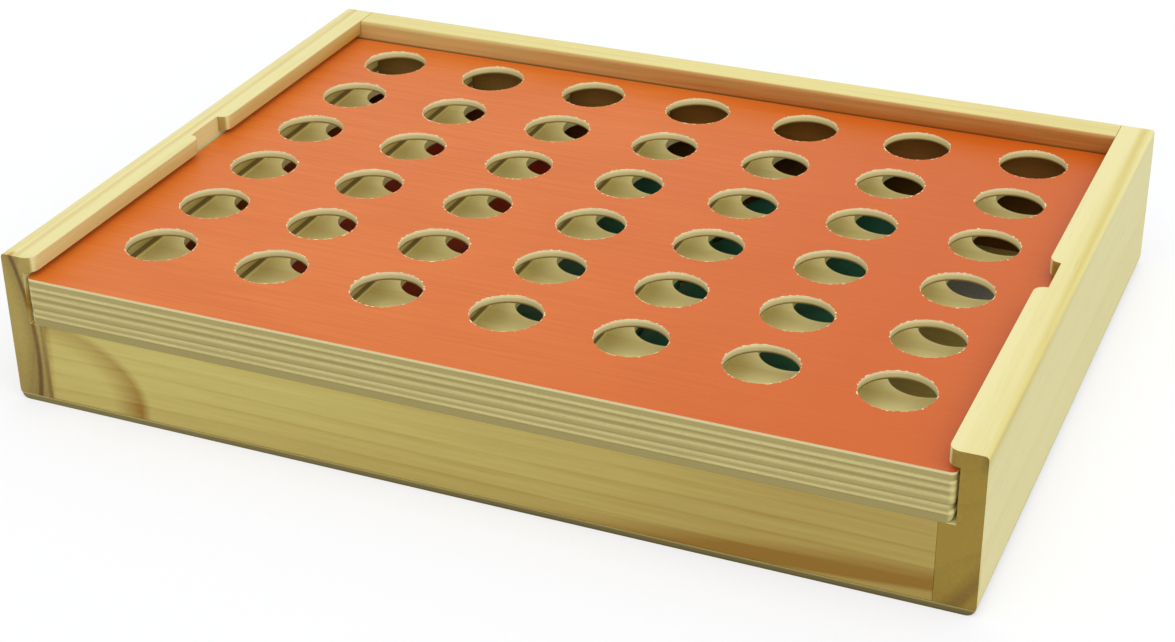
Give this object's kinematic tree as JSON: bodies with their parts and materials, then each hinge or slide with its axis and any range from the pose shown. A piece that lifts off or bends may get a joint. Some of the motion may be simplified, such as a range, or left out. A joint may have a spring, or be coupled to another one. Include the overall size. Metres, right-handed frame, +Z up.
{
  "type": "four-in-a-row game",
  "caption": "Flat wooden game box whose lid is the orange game board with rows of sight holes; it slides out of grooved side rails, over a tray of red and teal discs.",
  "frame": {"origin": "middle of the box's footprint, on the surface it stands on", "axes": "+X along the long side to the right, -Y towards the open front where the board slides out, +Z up"},
  "size_m": [0.29, 0.2094, 0.048],
  "materials": {
    "pine": "planed and sanded, clear matt lacquer",
    "plywood": "sanded plywood, bare",
    "orange_plywood": "plywood with a thin satin orange coat on its outer face",
    "red_wood": "stained dark red, satin",
    "teal_wood": "stained dark teal, satin",
    "paper": "folded uncoated paper, bare"
  },
  "bodies": {
    "box": {"bottom_panel": "plywood", "left_rail": "pine", "right_rail": "pine", "front_wall": "pine", "back_wall": "pine"},
    "board": {"board_back_panel": "plywood", "board_front_panel": "orange_plywood", "board_foot_strip": "plywood", "board_left_strip": "plywood", "board_right_strip": "plywood", "board_divider_1": "plywood", "board_divider_2": "plywood", "board_divider_3": "plywood", "board_divider_4": "plywood", "board_divider_5": "plywood", "board_divider_6": "plywood"},
    "red_disc_1": {"red_disc_1": "red_wood"},
    "red_disc_2": {"red_disc_2": "red_wood"},
    "red_disc_3": {"red_disc_3": "red_wood"},
    "red_disc_4": {"red_disc_4": "red_wood"},
    "red_disc_5": {"red_disc_5": "red_wood"},
    "red_disc_6": {"red_disc_6": "red_wood"},
    "red_disc_7": {"red_disc_7": "red_wood"},
    "red_disc_8": {"red_disc_8": "red_wood"},
    "red_disc_9": {"red_disc_9": "red_wood"},
    "red_disc_10": {"red_disc_10": "red_wood"},
    "red_disc_11": {"red_disc_11": "red_wood"},
    "red_disc_12": {"red_disc_12": "red_wood"},
    "red_disc_13": {"red_disc_13": "red_wood"},
    "red_disc_14": {"red_disc_14": "red_wood"},
    "red_disc_15": {"red_disc_15": "red_wood"},
    "red_disc_16": {"red_disc_16": "red_wood"},
    "red_disc_17": {"red_disc_17": "red_wood"},
    "red_disc_18": {"red_disc_18": "red_wood"},
    "red_disc_19": {"red_disc_19": "red_wood"},
    "red_disc_20": {"red_disc_20": "red_wood"},
    "red_disc_21": {"red_disc_21": "red_wood"},
    "teal_disc_1": {"teal_disc_1": "teal_wood"},
    "teal_disc_2": {"teal_disc_2": "teal_wood"},
    "teal_disc_3": {"teal_disc_3": "teal_wood"},
    "teal_disc_4": {"teal_disc_4": "teal_wood"},
    "teal_disc_5": {"teal_disc_5": "teal_wood"},
    "teal_disc_6": {"teal_disc_6": "teal_wood"},
    "teal_disc_7": {"teal_disc_7": "teal_wood"},
    "teal_disc_8": {"teal_disc_8": "teal_wood"},
    "teal_disc_9": {"teal_disc_9": "teal_wood"},
    "teal_disc_10": {"teal_disc_10": "teal_wood"},
    "teal_disc_11": {"teal_disc_11": "teal_wood"},
    "teal_disc_12": {"teal_disc_12": "teal_wood"},
    "teal_disc_13": {"teal_disc_13": "teal_wood"},
    "teal_disc_14": {"teal_disc_14": "teal_wood"},
    "teal_disc_15": {"teal_disc_15": "teal_wood"},
    "teal_disc_16": {"teal_disc_16": "teal_wood"},
    "teal_disc_17": {"teal_disc_17": "teal_wood"},
    "teal_disc_18": {"teal_disc_18": "teal_wood"},
    "teal_disc_19": {"teal_disc_19": "teal_wood"},
    "teal_disc_20": {"teal_disc_20": "teal_wood"},
    "teal_disc_21": {"teal_disc_21": "teal_wood"},
    "rules_leaflet": {"rules_leaflet": "paper"}
  },
  "joints": [
    {"name": "board_slide", "type": "slide", "parent": "box", "child": "board", "axis": [0, -1, 0], "range_m": [0, 0.1985]},
    {"name": "red_disc_1_lift", "type": "slide", "parent": "box", "child": "red_disc_1", "axis": [0, 0, 1], "range_m": [0, 0.015]},
    {"name": "red_disc_2_lift", "type": "slide", "parent": "box", "child": "red_disc_2", "axis": [0, 0, 1], "range_m": [0, 0.015]},
    {"name": "red_disc_3_lift", "type": "slide", "parent": "box", "child": "red_disc_3", "axis": [0, 0, 1], "range_m": [0, 0.015]},
    {"name": "red_disc_4_lift", "type": "slide", "parent": "box", "child": "red_disc_4", "axis": [0, 0, 1], "range_m": [0, 0.015]},
    {"name": "red_disc_5_lift", "type": "slide", "parent": "box", "child": "red_disc_5", "axis": [0, 0, 1], "range_m": [0, 0.015]},
    {"name": "red_disc_6_lift", "type": "slide", "parent": "box", "child": "red_disc_6", "axis": [0, 0, 1], "range_m": [0, 0.015]},
    {"name": "red_disc_7_lift", "type": "slide", "parent": "box", "child": "red_disc_7", "axis": [0, 0, 1], "range_m": [0, 0.015]},
    {"name": "red_disc_8_lift", "type": "slide", "parent": "box", "child": "red_disc_8", "axis": [0, 0, 1], "range_m": [0, 0.015]},
    {"name": "red_disc_9_lift", "type": "slide", "parent": "box", "child": "red_disc_9", "axis": [0, 0, 1], "range_m": [0, 0.015]},
    {"name": "red_disc_10_lift", "type": "slide", "parent": "box", "child": "red_disc_10", "axis": [0, 0, 1], "range_m": [0, 0.015]},
    {"name": "red_disc_11_lift", "type": "slide", "parent": "box", "child": "red_disc_11", "axis": [0, 0, 1], "range_m": [0, 0.015]},
    {"name": "red_disc_12_lift", "type": "slide", "parent": "box", "child": "red_disc_12", "axis": [0, 0, 1], "range_m": [0, 0.015]},
    {"name": "red_disc_13_lift", "type": "slide", "parent": "box", "child": "red_disc_13", "axis": [0, 0, 1], "range_m": [0, 0.015]},
    {"name": "red_disc_14_lift", "type": "slide", "parent": "box", "child": "red_disc_14", "axis": [0, 0, 1], "range_m": [0, 0.015]},
    {"name": "red_disc_15_lift", "type": "slide", "parent": "box", "child": "red_disc_15", "axis": [0, 0, 1], "range_m": [0, 0.015]},
    {"name": "red_disc_16_lift", "type": "slide", "parent": "box", "child": "red_disc_16", "axis": [0, 0, 1], "range_m": [0, 0.015]},
    {"name": "red_disc_17_lift", "type": "slide", "parent": "box", "child": "red_disc_17", "axis": [0, 0, 1], "range_m": [0, 0.015]},
    {"name": "red_disc_18_lift", "type": "slide", "parent": "box", "child": "red_disc_18", "axis": [0, 0, 1], "range_m": [0, 0.015]},
    {"name": "red_disc_19_lift", "type": "slide", "parent": "box", "child": "red_disc_19", "axis": [0, 0, 1], "range_m": [0, 0.015]},
    {"name": "red_disc_20_lift", "type": "slide", "parent": "box", "child": "red_disc_20", "axis": [0, 0, 1], "range_m": [0, 0.015]},
    {"name": "red_disc_21_lift", "type": "slide", "parent": "box", "child": "red_disc_21", "axis": [0, 0, 1], "range_m": [0, 0.015]},
    {"name": "teal_disc_1_lift", "type": "slide", "parent": "box", "child": "teal_disc_1", "axis": [0, 0, 1], "range_m": [0, 0.015]},
    {"name": "teal_disc_2_lift", "type": "slide", "parent": "box", "child": "teal_disc_2", "axis": [0, 0, 1], "range_m": [0, 0.015]},
    {"name": "teal_disc_3_lift", "type": "slide", "parent": "box", "child": "teal_disc_3", "axis": [0, 0, 1], "range_m": [0, 0.015]},
    {"name": "teal_disc_4_lift", "type": "slide", "parent": "box", "child": "teal_disc_4", "axis": [0, 0, 1], "range_m": [0, 0.015]},
    {"name": "teal_disc_5_lift", "type": "slide", "parent": "box", "child": "teal_disc_5", "axis": [0, 0, 1], "range_m": [0, 0.015]},
    {"name": "teal_disc_6_lift", "type": "slide", "parent": "box", "child": "teal_disc_6", "axis": [0, 0, 1], "range_m": [0, 0.015]},
    {"name": "teal_disc_7_lift", "type": "slide", "parent": "box", "child": "teal_disc_7", "axis": [0, 0, 1], "range_m": [0, 0.015]},
    {"name": "teal_disc_8_lift", "type": "slide", "parent": "box", "child": "teal_disc_8", "axis": [0, 0, 1], "range_m": [0, 0.015]},
    {"name": "teal_disc_9_lift", "type": "slide", "parent": "box", "child": "teal_disc_9", "axis": [0, 0, 1], "range_m": [0, 0.015]},
    {"name": "teal_disc_10_lift", "type": "slide", "parent": "box", "child": "teal_disc_10", "axis": [0, 0, 1], "range_m": [0, 0.015]},
    {"name": "teal_disc_11_lift", "type": "slide", "parent": "box", "child": "teal_disc_11", "axis": [0, 0, 1], "range_m": [0, 0.015]},
    {"name": "teal_disc_12_lift", "type": "slide", "parent": "box", "child": "teal_disc_12", "axis": [0, 0, 1], "range_m": [0, 0.015]},
    {"name": "teal_disc_13_lift", "type": "slide", "parent": "box", "child": "teal_disc_13", "axis": [0, 0, 1], "range_m": [0, 0.015]},
    {"name": "teal_disc_14_lift", "type": "slide", "parent": "box", "child": "teal_disc_14", "axis": [0, 0, 1], "range_m": [0, 0.015]},
    {"name": "teal_disc_15_lift", "type": "slide", "parent": "box", "child": "teal_disc_15", "axis": [0, 0, 1], "range_m": [0, 0.015]},
    {"name": "teal_disc_16_lift", "type": "slide", "parent": "box", "child": "teal_disc_16", "axis": [0, 0, 1], "range_m": [0, 0.015]},
    {"name": "teal_disc_17_lift", "type": "slide", "parent": "box", "child": "teal_disc_17", "axis": [0, 0, 1], "range_m": [0, 0.015]},
    {"name": "teal_disc_18_lift", "type": "slide", "parent": "box", "child": "teal_disc_18", "axis": [0, 0, 1], "range_m": [0, 0.015]},
    {"name": "teal_disc_19_lift", "type": "slide", "parent": "box", "child": "teal_disc_19", "axis": [0, 0, 1], "range_m": [0, 0.015]},
    {"name": "teal_disc_20_lift", "type": "slide", "parent": "box", "child": "teal_disc_20", "axis": [0, 0, 1], "range_m": [0, 0.015]},
    {"name": "teal_disc_21_lift", "type": "slide", "parent": "box", "child": "teal_disc_21", "axis": [0, 0, 1], "range_m": [0, 0.015]},
    {"name": "rules_leaflet_lift", "type": "slide", "parent": "box", "child": "rules_leaflet", "axis": [0, 0, 1], "range_m": [0, 0.023]}
  ]
}
